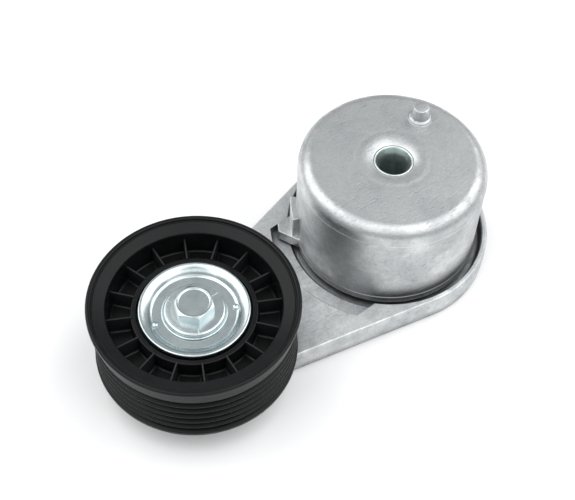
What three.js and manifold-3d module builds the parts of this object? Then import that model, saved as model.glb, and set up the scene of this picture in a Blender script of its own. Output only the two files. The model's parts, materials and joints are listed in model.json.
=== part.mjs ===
// Automatic belt tensioner: a sprung die-cast arm on a pivot, carrying a grooved belt pulley on a bearing.
// Millimetres. The origin is on the pivot axis in the mounting face. +Z points out of that face, and the
// arm reaches along -X to the pulley. The spring case is held to the engine and the arm turns on it.
import * as THREE from 'three';
import { mergeVertices } from 'three/addons/utils/BufferGeometryUtils.js';
import Module from 'manifold-3d';

const wasm = await Module();
wasm.setup();

// ---- Driving dimensions ----
// Layout
const ARM_LENGTH = 93.8;            // pivot axis to pulley axis
const SWING_DEGREES = 68;           // arm travel between its two stops
const SEAT_GAP = 0.2;               // kept between pieces that are clamped or pressed together
const RUN_GAP = 0.12;               // radial gap of a running fit

// Spring case
const CASE_RADIUS = 36.1;
const CASE_DEPTH = 43;              // mounting face to the open end of the skirt
const CASE_WALL = 3;
const CASE_CROWN = 4;               // thickness of the closed end
const CASE_EDGE_ROUND = 5.5;
const CASE_HUB_WALL = 3.4;          // hub around the sleeve, inside the crown
const CASE_HUB_DEPTH = 11;
const FACE_ROLL = 4.4;              // how far the face rolls down towards the sleeve
const FACE_ROLL_DEPTH = 1.2;
const FACE_LIP = 0.3;               // straight drop at the sleeve's hole
const PIN_RADIUS = 3.1;
const PIN_HEIGHT = 6;
const PIN_CHAMFER = 0.5;
const PIN_COLLAR_RADIUS = 4.5;
const PIN_COLLAR_HEIGHT = 0.8;
const PIN_ORBIT = 23.8;
const PIN_ANGLE = 22.7;

// Stop lug on the skirt, and the pad above it
const LUG_LENGTH = 6.9;
const LUG_HEIGHT = 5;
const LUG_TIP_DEGREES = 5.4;
const LUG_CLEARANCE = 2.5;          // from the lug's tip to the outer wall of its recess
const LUG_FLOOR_GAP = 0.6;
const STOP_GAP = 0.7;               // left between the lug and each stop wall
const PAD_PROUD = 2.1;
const PAD_HEIGHT = 11;
const PAD_DEGREES = 18;
const PAD_LEAD = 1;                 // degrees from the lug's middle to the pad's

// Pivot sleeve, its end plate and the bushes
const SLEEVE_RADIUS = 7.5;
const SLEEVE_WALL = 2;
const SLEEVE_MOUTH_STEP = 1.1;      // the mouth is this much wider than the bore, in radius
const SLEEVE_MOUTH_DEPTH = 2.2;
const SLEEVE_MOUTH_TAPER = 0.6;
const SLEEVE_CHAMFER = 0.3;
const SLEEVE_STAKE = 1.1;           // how far the staked foot spreads over the end plate
const SLEEVE_STAKE_HEIGHT = 0.8;
const BUSH_WALL = 2.6;
const BUSH_FLANGE = 1.3;
const END_PLATE_WIDTH = 8;          // from the sleeve to the plate's edge
const END_PLATE_THICKNESS = 1.9;
const THRUST_WASHER_THICKNESS = 1.2;

// Tension arm
const ARM_THICKNESS = 11;
const ARM_END_RADIUS = 18.5;        // outline round the pulley bolt
const ARM_EDGE = 0.8;               // broken edge of the outline
const SKIRT_OVERLAP = 3.4;          // how far the skirt dips into the arm's pan
const PAN_GAP = 2.6;                // from the skirt to the pan's wall
const PAN_RIM = 2.5;                // wall of the pan
const PAN_FLOOR_GAP = 2.5;          // from the skirt to the pan's floor
const ARM_HUB_WALL = 3.2;
const ISLAND_WALL = 2.5;            // round the end plate's seat
const ISLAND_FLOOR = 4;             // above the end plate's seat
const BOSS_SHOULDER = 3;            // the boss stands this far outside the bearing's bore
const POST_CHAMFER = 0.6;
const POST_SHORT = 1;               // top of the post below the bearing's front face
const POCKET_DEPTH = 5.5;           // cored from below, between the pan and the pulley end
const POCKET_WALL = 4;
const POCKET_RIB = 3;

// Spring, its seat and the damper
const SPRING_TURNS = 4.75;
const SPRING_WIRE_RADIUS = 2.7;
const SPRING_SEAT_THICKNESS = 1.8;
const SPRING_SEAT_COLLAR = 1.4;     // wall of the seat's collar round the case's hub
const SPRING_SEAT_SHORT = 0.5;      // the collar ends this far above the hub's end
const DAMPER_WALL = 2;
const DAMPER_HEIGHT = 17;
const DAMPER_OPEN_DEGREES = 60;

// Pulley
const PULLEY_RADIUS = 38;           // over the front flange
const PULLEY_WIDTH = 30;
const PULLEY_ARM_GAP = 1.5;
const FRONT_FLANGE = 2.2;
const LAND_DROP = 1.2;              // belt land below the front flange, in radius
const REAR_FLANGE_DROP = 0.75;      // rear flange below the front flange, in radius
const REAR_FLANGE = 1.75;
const FLANGE_CHAMFER = 0.5;
const GROOVE_COUNT = 6;
const GROOVE_PITCH = 3.56;
const GROOVE_DEPTH = 2.9;
const GROOVE_MOUTH = 2.9;
const GROOVE_ROOT = 0.8;
const RIM_WALL = 6.7;               // front flange to the rim's opening, in radius
const RIM_LIP = 2.1;                // width of the lip round the rim's face
const RIM_LIP_HEIGHT = 0.6;
const RIM_FACE_DIP = 2.7;           // the face slopes down to the opening
const RIM_DRAFT = 0.4;
const HUB_WALL = 2.5;
const HUB_FRONT_WALL = 1.95;        // round the front shield
const HUB_FRONT = 5.9;              // depth of the hub's front edge below the front face
const HUB_LIP = 1.2;                // lip that holds the bearing
const HUB_FRONT_LIP = 0.7;          // thickness of the front lip
const HUB_REAR_LIP = 2.7;           // thickness of the rear lip
const WEB_DEPTH = 12.5;
const WEB_THICKNESS = 3.6;
const SPOKE_COUNT = 16;
const SPOKE_THICKNESS = 1.2;
const SPOKE_DEPTH = 5.4;            // tops of the spokes below the front face
const SPOKE_PHASE = 15;
const SPOKE_BITE = 0.5;             // how far a spoke runs into the rim and the hub
const SPOKE_REAR = 1;               // a spoke ends this far inside the hub's rear edge

// Bearing
const BEARING_OUTER_RADIUS = 20;
const BEARING_BORE_RADIUS = 8.5;
const BEARING_WIDTH = 12;
const BEARING_DEPTH = 8.5;          // front face of the bearing below the pulley's front face
const BALL_COUNT = 8;
const BALL_GAP = 0.2;
const BALL_TRACK = 1.4;             // depth of the ball groove below a race's shoulder
const SEAL_THICKNESS = 1.1;
const SEAL_STEP = 0.7;              // recess of the outer race that takes the seal
const CAGE_WALL = 1.8;
const CAGE_EDGE = 0.75;             // left above and below each pocket
const CAGE_END_GAP = 0.33;          // from the cage to each seal
const CAGE_POCKET_SIDES = 12;

// Dust shields and bolt
const SHIELD_SIDE_GAP = 0.75;       // from the front shield's edge to the hub
const SHIELD_THICKNESS = 0.9;
const SHIELD_RISE = 2.65;           // crest of the front shield above its flat
const SHIELD_FLAT_MARGIN = 3.6;     // flat of the front shield outside the bolt's flange
const SHIELD_ROLL = 1.3;            // width of the rolled edge outside the crest
const REAR_SHIELD_SIDE_GAP = 2;     // from the rear shield's edge to the hub's rear lip
const REAR_SHIELD_DISH = 0.6;
const BOLT_SHANK_RADIUS = 5;
const BOLT_HOLE_GAP = 0.3;
const BOLT_TIP_SHORT = 1;           // the shank ends this far inside the arm's rear face
const BOLT_TIP_CHAMFER = 0.8;
const BOLT_FLANGE_OVERLAP = 3.1;    // the flange stands this far outside the bearing's bore
const BOLT_FLANGE_HEIGHT = 2;
const BOLT_FLANGE_CHAMFER = 0.4;
const BOLT_HEX_ACROSS_FLATS = 13;
const BOLT_HEX_HEIGHT = 4.4;
const BOLT_HEX_TURN = 7;            // degrees, as tightened
const BOLT_HEX_CHAMFER = 0.6;
const BOLT_DISH_RIM = 0.5;          // flat ring round the dished top of the hexagon
const BOLT_DISH_SLOPE = 0.8;
const BOLT_DISH_DEPTH = 0.5;

// Facets round a full turn
const WIDE_FACETS = 60;
const PULLEY_FACETS = 44;
const RING_FACETS = 36;
const SMALL_FACETS = 24;

// Cutters run past the faces that they open, and joined shapes into each other, by this much.
const OVER = 1;

// ---- Places worked out from the dimensions ----
const armTop = -(CASE_DEPTH - SKIRT_OVERLAP);
const armBottom = armTop - ARM_THICKNESS;
const panRadius = CASE_RADIUS + PAN_GAP;
const armPivotRadius = panRadius + PAN_RIM;
const panFloor = -CASE_DEPTH - PAN_FLOOR_GAP;
const caseBore = CASE_RADIUS - CASE_WALL;
const caseRoot = CASE_RADIUS - CASE_WALL / 2;
const lugReach = CASE_RADIUS + LUG_LENGTH;
const lugMiddle = 180 - SWING_DEGREES / 2;
const recessRadius = lugReach + LUG_CLEARANCE;
const recessFloor = -CASE_DEPTH - LUG_FLOOR_GAP;
// The lug's two faces stand this far from the pivot axis, so each lies flat against its stop wall.
const stopFace = lugReach * Math.cos(radians((180 - SWING_DEGREES - LUG_TIP_DEGREES) / 2));
const stopWall = stopFace + STOP_GAP;
const sleeveBore = SLEEVE_RADIUS - SLEEVE_WALL;
const sleeveMouth = sleeveBore + SLEEVE_MOUTH_STEP;
const sleeveHole = SLEEVE_RADIUS + SEAT_GAP;
const caseHubRadius = sleeveHole + CASE_HUB_WALL;
const bushBore = SLEEVE_RADIUS + RUN_GAP;
const bushRadius = bushBore + BUSH_WALL;
const armHubBore = bushRadius + SEAT_GAP;
const armHubRadius = armHubBore + ARM_HUB_WALL;
const bushTop = -CASE_HUB_DEPTH - SEAT_GAP;
const armHubTop = bushTop - BUSH_FLANGE - SEAT_GAP;
const endPlateRadius = SLEEVE_RADIUS + END_PLATE_WIDTH;
const plateSeatRadius = endPlateRadius + 2 * SEAT_GAP;
const plateBottom = armBottom + SEAT_GAP;
const plateTop = plateBottom + END_PLATE_THICKNESS;
const washerTop = plateTop + SEAT_GAP + THRUST_WASHER_THICKNESS;
const plateSeatTop = washerTop + SEAT_GAP;
const islandRadius = plateSeatRadius + ISLAND_WALL;
const islandTop = plateSeatTop + ISLAND_FLOOR;
const springTop = -CASE_CROWN - 2 * SEAT_GAP - SPRING_SEAT_THICKNESS;
const damperRadius = caseBore - 2 * RUN_GAP;
const springMeanRadius = (islandRadius + damperRadius - DAMPER_WALL) / 2;
const pulleyRear = armTop + PULLEY_ARM_GAP;
const pulleyFront = pulleyRear + PULLEY_WIDTH;
const landRadius = PULLEY_RADIUS - LAND_DROP;
const rearFlangeRadius = PULLEY_RADIUS - REAR_FLANGE_DROP;
const rimOpening = PULLEY_RADIUS - RIM_WALL;
const bearingFront = pulleyFront - BEARING_DEPTH;
const bearingRear = bearingFront - BEARING_WIDTH;
const bearingMiddle = (bearingFront + bearingRear) / 2;
const raceBore = BEARING_OUTER_RADIUS + SEAT_GAP;
const lipBore = raceBore - HUB_LIP;
const hubRadius = raceBore + HUB_WALL;
const hubFront = pulleyFront - HUB_FRONT;
const hubRear = bearingRear - SEAT_GAP - HUB_REAR_LIP;
const webFront = pulleyFront - WEB_DEPTH;
const webRear = webFront - WEB_THICKNESS;
// The sealed space between the two seals sets the cage's height, and that sets the balls' size.
const cageHalf = BEARING_WIDTH / 2 - SEAT_GAP - SEAL_THICKNESS - CAGE_END_GAP;
const cagePocket = cageHalf - CAGE_EDGE;
const trackRadius = cagePocket * Math.cos(Math.PI / CAGE_POCKET_SIDES);
const ballRadius = trackRadius - BALL_GAP;
const ballOrbit = (BEARING_BORE_RADIUS + BEARING_OUTER_RADIUS) / 2;
const shoulderInner = ballOrbit - trackRadius + BALL_TRACK;
const shoulderOuter = ballOrbit + trackRadius - BALL_TRACK;
const boltFlangeRadius = BEARING_BORE_RADIUS + BOLT_FLANGE_OVERLAP;
const shieldBore = hubRadius - HUB_FRONT_WALL;
const shieldRadius = shieldBore - SHIELD_SIDE_GAP;
const shieldCrest = shieldRadius - SHIELD_ROLL;
const shieldFlat = boltFlangeRadius + SHIELD_FLAT_MARGIN;
const shieldTop = bearingFront + SEAT_GAP + SHIELD_THICKNESS;
const boltSeat = shieldTop + SEAT_GAP;
const boltHole = BOLT_SHANK_RADIUS + BOLT_HOLE_GAP;
const bossRadius = BEARING_BORE_RADIUS + BOSS_SHOULDER;
const bossTop = bearingRear - 2 * SEAT_GAP - SHIELD_THICKNESS;
const rearShieldRadius = lipBore - REAR_SHIELD_SIDE_GAP;

function radians(angle) {
  return angle * Math.PI / 180;
}

function degrees(angle) {
  return angle * 180 / Math.PI;
}

// ---- Shape helpers ----
function solid(geometry) {
  const bare = geometry.clone();
  bare.deleteAttribute('normal');
  bare.deleteAttribute('uv');
  const merged = mergeVertices(bare, 1e-4);
  const index = merged.index.array;
  const kept = [];
  for (let i = 0; i < index.length; i += 3) {
    const [a, b, c] = [index[i], index[i + 1], index[i + 2]];
    if (a !== b && b !== c && c !== a) {
      kept.push(a, b, c);
    }
  }
  const vertProperties = Float32Array.from(merged.attributes.position.array);
  const mesh = new wasm.Mesh({ numProp: 3, vertProperties, triVerts: Uint32Array.from(kept) });
  return new wasm.Manifold(mesh);
}

// A ring or disc turned from [radius, z] points, listed anticlockwise. It closes on itself off the axis.
function turned(points, facets) {
  const profile = points.map(([radius, z]) => new THREE.Vector2(radius, z));
  const onAxis = points[0][0] === 0 && points[points.length - 1][0] === 0;
  if (!onAxis) {
    profile.push(profile[0].clone());
  }
  const geometry = new THREE.LatheGeometry(profile, facets);
  geometry.rotateX(Math.PI / 2);
  return solid(geometry);
}

function ring(inner, outer, bottom, top, facets) {
  return turned([[inner, bottom], [outer, bottom], [outer, top], [inner, top]], facets);
}

function disc(radius, bottom, top, facets) {
  return turned([[0, bottom], [radius, bottom], [radius, top], [0, top]], facets);
}

function prism(shape, bottom, top, curveSegments = 12) {
  const options = { depth: top - bottom, bevelEnabled: false, curveSegments };
  const geometry = new THREE.ExtrudeGeometry(shape, options);
  geometry.translate(0, 0, bottom);
  return solid(geometry);
}

function box(size, centre) {
  const geometry = new THREE.BoxGeometry(...size);
  geometry.translate(...centre);
  return solid(geometry);
}

// Points along a quarter round from one [radius, z] point towards another, about a centre.
function round(centreRadius, centreZ, size, fromDegrees, toDegrees, steps) {
  const points = [];
  for (let i = 0; i <= steps; i += 1) {
    const angle = radians(fromDegrees + (toDegrees - fromDegrees) * i / steps);
    points.push([centreRadius + size * Math.cos(angle), centreZ + size * Math.sin(angle)]);
  }
  return points;
}

function spot(radius, degrees) {
  return [radius * Math.cos(radians(degrees)), radius * Math.sin(radians(degrees))];
}

const assembly = new THREE.Group();

function add(name, shape, colour, roughness, metalness, place = [0, 0, 0]) {
  const mesh = shape.getMesh();
  const geometry = new THREE.BufferGeometry();
  geometry.setAttribute('position', new THREE.BufferAttribute(mesh.vertProperties, 3));
  geometry.setIndex(new THREE.BufferAttribute(mesh.triVerts, 1));
  geometry.computeVertexNormals();
  const material = new THREE.MeshStandardMaterial({ color: colour, roughness, metalness });
  const piece = new THREE.Mesh(geometry, material);
  piece.name = name;
  piece.position.set(...place);
  assembly.add(piece);
}

// ---- Spring case ----
// The lug is bounded by its two stop faces. Each face stands off the pivot axis by stopFace.
function lugShape() {
  const upper = (radius) => 180 - degrees(Math.asin(stopFace / radius));
  const lower = (radius) => 270 - SWING_DEGREES - degrees(Math.acos(stopFace / radius));
  const shape = new THREE.Shape();
  shape.moveTo(...spot(caseRoot, upper(caseRoot)));
  shape.lineTo(...spot(lugReach, upper(lugReach)));
  shape.lineTo(...spot(lugReach, lower(lugReach)));
  shape.lineTo(...spot(caseRoot, lower(caseRoot)));
  shape.closePath();
  return shape;
}

function padShape() {
  const from = radians(lugMiddle - PAD_LEAD - PAD_DEGREES / 2);
  const to = from + radians(PAD_DEGREES);
  const shape = new THREE.Shape();
  shape.absarc(0, 0, CASE_RADIUS + PAD_PROUD, from, to, false);
  shape.absarc(0, 0, caseRoot, to, from, true);
  shape.closePath();
  return shape;
}

// The closed end of the case, from its outer round to the sleeve's hole.
function caseFace() {
  const rollRound = 2 * FACE_ROLL;
  const rollTurn = degrees(Math.acos(1 - FACE_ROLL_DEPTH / rollRound));
  return [
    ...round(CASE_RADIUS - CASE_EDGE_ROUND, -CASE_EDGE_ROUND, CASE_EDGE_ROUND, 0, 90, 5),
    ...round(sleeveHole + FACE_ROLL, -rollRound, rollRound, 90, 90 + rollTurn, 2),
    [sleeveHole, -FACE_ROLL_DEPTH - FACE_LIP],
  ];
}

function locatingPin() {
  return turned([
    [0, -CASE_CROWN / 2],
    [PIN_COLLAR_RADIUS, -CASE_CROWN / 2],
    [PIN_COLLAR_RADIUS, PIN_COLLAR_HEIGHT / 2],
    [PIN_RADIUS, PIN_COLLAR_HEIGHT],
    [PIN_RADIUS, PIN_HEIGHT - PIN_CHAMFER],
    [PIN_RADIUS - PIN_CHAMFER, PIN_HEIGHT],
    [0, PIN_HEIGHT],
  ], SMALL_FACETS).translate([...spot(PIN_ORBIT, PIN_ANGLE), 0]);
}

function springCase() {
  const insideRound = CASE_EDGE_ROUND - CASE_WALL;
  const cup = turned([
    [sleeveHole, -CASE_HUB_DEPTH],
    [caseHubRadius, -CASE_HUB_DEPTH],
    [caseHubRadius, -CASE_CROWN],
    ...round(caseBore - insideRound, -CASE_CROWN - insideRound, insideRound, 90, 0, 2),
    [caseBore, -CASE_DEPTH],
    [CASE_RADIUS, -CASE_DEPTH],
    ...caseFace(),
  ], WIDE_FACETS);
  const lugTop = -CASE_DEPTH + LUG_HEIGHT;
  const lug = prism(lugShape(), -CASE_DEPTH, lugTop);
  const pad = prism(padShape(), lugTop - OVER, lugTop + PAD_HEIGHT, 4);
  return cup.add(lug).add(pad).add(locatingPin());
}

// ---- Pivot ----
function pivotSleeve() {
  const top = -FACE_ROLL_DEPTH + SEAT_GAP;
  const foot = SLEEVE_RADIUS + SLEEVE_STAKE;
  const footTop = plateBottom + SLEEVE_STAKE_HEIGHT;
  return turned([
    [sleeveBore, plateBottom],
    [foot, plateBottom],
    [foot, footTop],
    [SLEEVE_RADIUS, footTop],
    [SLEEVE_RADIUS, top - SLEEVE_CHAMFER],
    [SLEEVE_RADIUS - SLEEVE_CHAMFER, top],
    [sleeveMouth, top],
    [sleeveMouth, top - SLEEVE_MOUTH_DEPTH],
    [sleeveBore, top - SLEEVE_MOUTH_DEPTH - SLEEVE_MOUTH_TAPER],
  ], RING_FACETS);
}

function endPlate() {
  const stakeSeat = SLEEVE_RADIUS + SLEEVE_STAKE + SEAT_GAP;
  const stakeTop = plateBottom + SLEEVE_STAKE_HEIGHT + SEAT_GAP;
  return turned([
    [stakeSeat, plateBottom],
    [endPlateRadius, plateBottom],
    [endPlateRadius, plateTop],
    [sleeveHole, plateTop],
    [sleeveHole, stakeTop],
    [stakeSeat, stakeTop],
  ], RING_FACETS);
}

function thrustWasher() {
  return ring(bushBore, endPlateRadius, plateTop + SEAT_GAP, washerTop, RING_FACETS);
}

function pivotBushing() {
  return turned([
    [bushBore, plateSeatTop + SEAT_GAP],
    [bushRadius, plateSeatTop + SEAT_GAP],
    [bushRadius, bushTop - BUSH_FLANGE],
    [armHubRadius, bushTop - BUSH_FLANGE],
    [armHubRadius, bushTop],
    [bushBore, bushTop],
  ], RING_FACETS);
}

// ---- Tension arm ----
// Two circles, one round the pivot and one round the pulley bolt, joined by their outer tangents.
function armOutline(inset) {
  const big = armPivotRadius - inset;
  const small = ARM_END_RADIUS - inset;
  const tangent = Math.acos((small - big) / ARM_LENGTH);
  const shape = new THREE.Shape();
  shape.absarc(0, 0, big, -tangent, tangent, false);
  shape.absarc(-ARM_LENGTH, 0, small, tangent, 2 * Math.PI - tangent, false);
  shape.closePath();
  return shape;
}

function armPlate() {
  const geometry = new THREE.ExtrudeGeometry(armOutline(ARM_EDGE), {
    depth: ARM_THICKNESS - 2 * ARM_EDGE,
    bevelEnabled: true,
    bevelSize: ARM_EDGE,
    bevelThickness: ARM_EDGE,
    bevelSegments: 1,
    curveSegments: 20,
  });
  geometry.translate(0, 0, armBottom + ARM_EDGE);
  return solid(geometry);
}

// The lug's way through the arm: round outside, with a flat stop wall at each end.
function recessShape() {
  const end = Math.asin(stopWall / recessRadius);
  const inside = Math.sqrt(panRadius ** 2 - stopWall ** 2) - 2 * OVER;
  const shape = new THREE.Shape();
  shape.moveTo(-inside, stopWall);
  shape.lineTo(-recessRadius * Math.cos(end), stopWall);
  shape.absarc(0, 0, recessRadius, Math.PI - end, Math.PI + end, false);
  shape.lineTo(-inside, -stopWall);
  shape.closePath();
  return shape;
}

// One cored pocket of the underside, between two distances from the pivot, on one side of the middle rib.
function pocketShape(near, far, side) {
  const slope = (armPivotRadius - ARM_END_RADIUS) / ARM_LENGTH;
  const edge = (distance) => (armPivotRadius - slope * distance) / Math.sqrt(1 - slope ** 2) - POCKET_WALL;
  const shape = new THREE.Shape();
  shape.moveTo(-near, side * POCKET_RIB / 2);
  shape.lineTo(-near, side * edge(near));
  shape.lineTo(-far, side * edge(far));
  shape.lineTo(-far, side * POCKET_RIB / 2);
  shape.closePath();
  return shape;
}

// The post that carries the bearing, on the boss that holds the bearing off the arm.
function bearingPost() {
  const post = BEARING_BORE_RADIUS - RUN_GAP;
  const postTop = bearingFront - POST_SHORT;
  return turned([
    [0, armTop - OVER],
    [bossRadius, armTop - OVER],
    [bossRadius, bossTop],
    [post, bossTop],
    [post, postTop - POST_CHAMFER],
    [post - POST_CHAMFER, postTop],
    [0, postTop],
  ], RING_FACETS).translate([-ARM_LENGTH, 0, 0]);
}

// The four cored pockets of the underside, two on each side of the middle rib.
function corePockets() {
  const near = recessRadius + POCKET_WALL;
  const far = ARM_LENGTH - ARM_END_RADIUS + OVER;
  const middle = (near + far) / 2;
  const pockets = [];
  for (const side of [-1, 1]) {
    for (const [from, to] of [[near, middle - POCKET_RIB / 2], [middle + POCKET_RIB / 2, far]]) {
      pockets.push(prism(pocketShape(from, to, side), armBottom - OVER, armBottom + POCKET_DEPTH));
    }
  }
  return pockets;
}

function tensionArm() {
  let arm = armPlate();
  arm = arm.subtract(disc(panRadius, panFloor, armTop + OVER, WIDE_FACETS));
  arm = arm.subtract(prism(recessShape(), recessFloor, armTop + OVER, 16));
  arm = arm.add(disc(islandRadius, panFloor - OVER, islandTop, RING_FACETS));
  arm = arm.add(disc(armHubRadius, islandTop - OVER, armHubTop, RING_FACETS));
  arm = arm.subtract(disc(armHubBore, armBottom - OVER, armHubTop + OVER, RING_FACETS));
  arm = arm.subtract(disc(plateSeatRadius, armBottom - OVER, plateSeatTop, RING_FACETS));
  arm = arm.add(bearingPost());
  const passage = disc(boltHole, armBottom - OVER, bearingFront + OVER, SMALL_FACETS);
  arm = arm.subtract(passage.translate([-ARM_LENGTH, 0, 0]));
  for (const pocket of corePockets()) {
    arm = arm.subtract(pocket);
  }
  return arm;
}

// ---- Spring, seat and damper ----
class Helix extends THREE.Curve {
  getPoint(t, target = new THREE.Vector3()) {
    const angle = 2 * Math.PI * SPRING_TURNS * t;
    const high = springTop - SEAT_GAP - SPRING_WIRE_RADIUS;
    const low = panFloor + SEAT_GAP + SPRING_WIRE_RADIUS;
    return target.set(
      springMeanRadius * Math.cos(angle),
      springMeanRadius * Math.sin(angle),
      low + (high - low) * t,
    );
  }
}

function torsionSpring() {
  const wire = new THREE.Shape();
  wire.absarc(0, 0, SPRING_WIRE_RADIUS, 0, 2 * Math.PI, false);
  const geometry = new THREE.ExtrudeGeometry(wire, {
    steps: Math.round(SPRING_TURNS * 16),
    curveSegments: 4,
    bevelEnabled: false,
    extrudePath: new Helix(),
  });
  return solid(geometry);
}

function springBushing() {
  const inner = caseHubRadius + SEAT_GAP;
  const outer = caseBore - CASE_EDGE_ROUND / 2;
  const collar = inner + SPRING_SEAT_COLLAR;
  const foot = -CASE_HUB_DEPTH + SPRING_SEAT_SHORT;
  const seat = springTop + SEAT_GAP;
  return turned([
    [inner, foot],
    [collar, foot],
    [collar, seat],
    [outer, seat],
    [outer, -CASE_CROWN - SEAT_GAP],
    [inner, -CASE_CROWN - SEAT_GAP],
  ], RING_FACETS);
}

function damperShoe() {
  const half = radians(180 - DAMPER_OPEN_DEGREES / 2);
  const foot = panFloor + SEAT_GAP;
  const shape = new THREE.Shape();
  shape.absarc(0, 0, damperRadius, -half, half, false);
  shape.absarc(0, 0, damperRadius - DAMPER_WALL, half, -half, true);
  shape.closePath();
  return prism(shape, foot, foot + DAMPER_HEIGHT, 20);
}

// ---- Pulley ----
// The outside from rear to front: rear flange, grooves, land, front flange and lip.
function pulleyProfile() {
  const points = [
    [rearFlangeRadius - FLANGE_CHAMFER, pulleyRear],
    [rearFlangeRadius, pulleyRear + FLANGE_CHAMFER],
  ];
  for (let i = 0; i < GROOVE_COUNT; i += 1) {
    const middle = pulleyRear + REAR_FLANGE + GROOVE_MOUTH / 2 + GROOVE_PITCH * i;
    const crest = i === 0 ? rearFlangeRadius : landRadius;
    points.push([crest, middle - GROOVE_MOUTH / 2]);
    points.push([landRadius - GROOVE_DEPTH, middle - GROOVE_ROOT / 2]);
    points.push([landRadius - GROOVE_DEPTH, middle + GROOVE_ROOT / 2]);
    points.push([landRadius, middle + GROOVE_MOUTH / 2]);
  }
  const flangeRear = pulleyFront - FRONT_FLANGE;
  points.push([landRadius, flangeRear - FLANGE_CHAMFER / 2]);
  points.push([PULLEY_RADIUS, flangeRear]);
  points.push([PULLEY_RADIUS, pulleyFront - FLANGE_CHAMFER]);
  points.push([PULLEY_RADIUS - FLANGE_CHAMFER, pulleyFront]);
  points.push([PULLEY_RADIUS - RIM_LIP, pulleyFront - RIM_LIP_HEIGHT]);
  return points;
}

function pulleyWheel() {
  const webRadius = rimOpening - RIM_DRAFT;
  const seatFront = bearingFront + SEAT_GAP;
  const seatRear = bearingRear - SEAT_GAP;
  const lipTop = seatFront + HUB_FRONT_LIP;
  let wheel = turned([
    ...pulleyProfile(),
    [rimOpening, pulleyFront - RIM_FACE_DIP],
    [webRadius, webFront],
    [hubRadius, webFront],
    [hubRadius, hubFront],
    [shieldBore, hubFront],
    [shieldBore, lipTop],
    [lipBore, lipTop],
    [lipBore, seatFront],
    [raceBore, seatFront],
    [raceBore, seatRear],
    [lipBore, seatRear],
    [lipBore, hubRear],
    [hubRadius, hubRear],
    [hubRadius, webRear],
    [webRadius, webRear],
    [rimOpening, pulleyRear],
  ], PULLEY_FACETS);
  const length = rimOpening - hubRadius + 2 * SPOKE_BITE;
  const top = pulleyFront - SPOKE_DEPTH;
  const bottom = hubRear + SPOKE_REAR;
  const middle = (rimOpening + hubRadius) / 2;
  const spoke = box([length, SPOKE_THICKNESS, top - bottom], [middle, 0, (top + bottom) / 2]);
  for (let i = 0; i < SPOKE_COUNT; i += 1) {
    wheel = wheel.add(spoke.rotate([0, 0, SPOKE_PHASE + 360 * i / SPOKE_COUNT]));
  }
  return wheel;
}

// ---- Bearing ----
// Points of a ball groove cut into a race, swept about the ball circle.
function grooveArc(fromDegrees, toDegrees) {
  return round(ballOrbit, bearingMiddle, trackRadius, fromDegrees, toDegrees, 4);
}

function grooveHalfAngle(shoulder) {
  return degrees(Math.acos(Math.abs(shoulder - ballOrbit) / trackRadius));
}

function innerRace() {
  const half = grooveHalfAngle(shoulderInner);
  return turned([
    [BEARING_BORE_RADIUS, bearingRear],
    [shoulderInner, bearingRear],
    ...grooveArc(180 + half, 180 - half),
    [shoulderInner, bearingFront],
    [BEARING_BORE_RADIUS, bearingFront],
  ], RING_FACETS);
}

function outerRace() {
  const half = grooveHalfAngle(shoulderOuter);
  const stepRadius = shoulderOuter + SEAL_STEP;
  const stepDepth = SEAL_THICKNESS + 2 * SEAT_GAP;
  return turned([
    [stepRadius, bearingRear],
    [BEARING_OUTER_RADIUS, bearingRear],
    [BEARING_OUTER_RADIUS, bearingFront],
    [stepRadius, bearingFront],
    [stepRadius, bearingFront - stepDepth],
    [shoulderOuter, bearingFront - stepDepth],
    ...grooveArc(half, -half),
    [shoulderOuter, bearingRear + stepDepth],
    [stepRadius, bearingRear + stepDepth],
  ], RING_FACETS);
}

function seal(top) {
  const inner = shoulderInner + SEAT_GAP;
  const outer = shoulderOuter + SEAL_STEP - SEAT_GAP;
  return ring(inner, outer, top - SEAL_THICKNESS, top, RING_FACETS);
}

function ball() {
  const geometry = new THREE.SphereGeometry(ballRadius, 10, 7);
  geometry.rotateX(Math.PI / 2);
  return solid(geometry);
}

function ballPlace(index) {
  const [x, y] = spot(ballOrbit, 360 * index / BALL_COUNT);
  return [x - ARM_LENGTH, y, bearingMiddle];
}

// A band with a round pocket through it for each ball.
function ballCage() {
  const inner = ballOrbit - CAGE_WALL / 2;
  const outer = ballOrbit + CAGE_WALL / 2;
  let cage = ring(inner, outer, -cageHalf, cageHalf, RING_FACETS);
  const cutter = disc(cagePocket, inner - OVER, outer + OVER, CAGE_POCKET_SIDES).rotate([0, 90, 0]);
  for (let i = 0; i < BALL_COUNT; i += 1) {
    cage = cage.subtract(cutter.rotate([0, 0, 360 * i / BALL_COUNT]));
  }
  return cage.translate([0, 0, bearingMiddle]);
}

// ---- Dust shields and bolt ----
// A flat middle, a cone that rises to a crest, and an edge rolled back down.
function frontShield() {
  const crest = shieldTop + SHIELD_RISE;
  const thick = SHIELD_THICKNESS;
  const cone = shieldCrest - shieldFlat;
  const roll = SHIELD_ROLL;
  return turned([
    [boltHole, shieldTop - thick],
    [shieldFlat, shieldTop - thick],
    [shieldCrest - cone * 0.1, crest - thick],
    [shieldRadius - roll * 0.5, crest - thick],
    [shieldRadius - roll * 0.35, crest - thick * 2],
    [shieldRadius, crest - thick * 1.8],
    [shieldRadius - roll * 0.1, crest - thick * 0.45],
    [shieldRadius - roll * 0.45, crest - thick * 0.1],
    [shieldCrest, crest],
    [shieldCrest - cone * 0.28, crest - SHIELD_RISE * 0.19],
    [shieldFlat + cone * 0.25, shieldTop + SHIELD_RISE * 0.26],
    [shieldFlat - cone * 0.13, shieldTop],
    [boltHole, shieldTop],
  ], RING_FACETS);
}

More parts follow.
